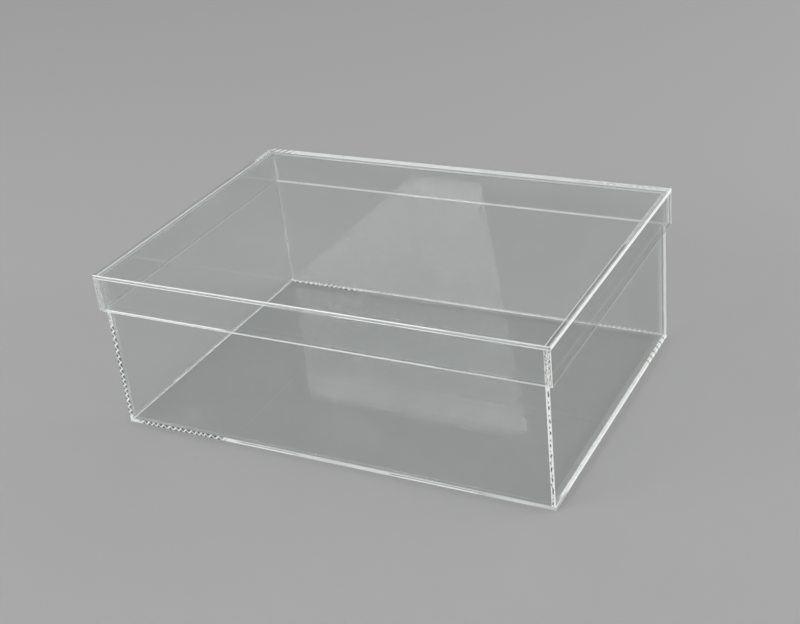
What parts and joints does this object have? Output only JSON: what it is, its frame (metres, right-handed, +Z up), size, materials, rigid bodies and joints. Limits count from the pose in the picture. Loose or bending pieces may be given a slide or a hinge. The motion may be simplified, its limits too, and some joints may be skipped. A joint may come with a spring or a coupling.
{
  "type": "lidded storage box",
  "caption": "Clear acrylic storage box, an open tray of cemented flat sheets with a shallow cap lid that lifts straight off.",
  "frame": {"origin": "middle of the underside of the base, which is the face the box stands on", "axes": "+X along the length, +Y across the width from front to back, +Z up"},
  "size_m": [0.357, 0.252, 0.128],
  "materials": {
    "clear_sheet": "polished",
    "sawn_edge": "satin"
  },
  "bodies": {
    "tray": {"base": "clear_sheet", "left_wall": "clear_sheet", "right_wall": "clear_sheet", "front_wall": "clear_sheet", "back_wall": "clear_sheet"},
    "lid": {"lid_top": "clear_sheet", "lid_left_rim": "clear_sheet", "lid_right_rim": "clear_sheet", "lid_front_rim": "clear_sheet", "lid_back_rim": "clear_sheet"}
  },
  "joints": [
    {"name": "lid_lift", "type": "slide", "parent": "tray", "child": "lid", "axis": [0, 0, 1], "range_m": [0, 0.1]}
  ]
}
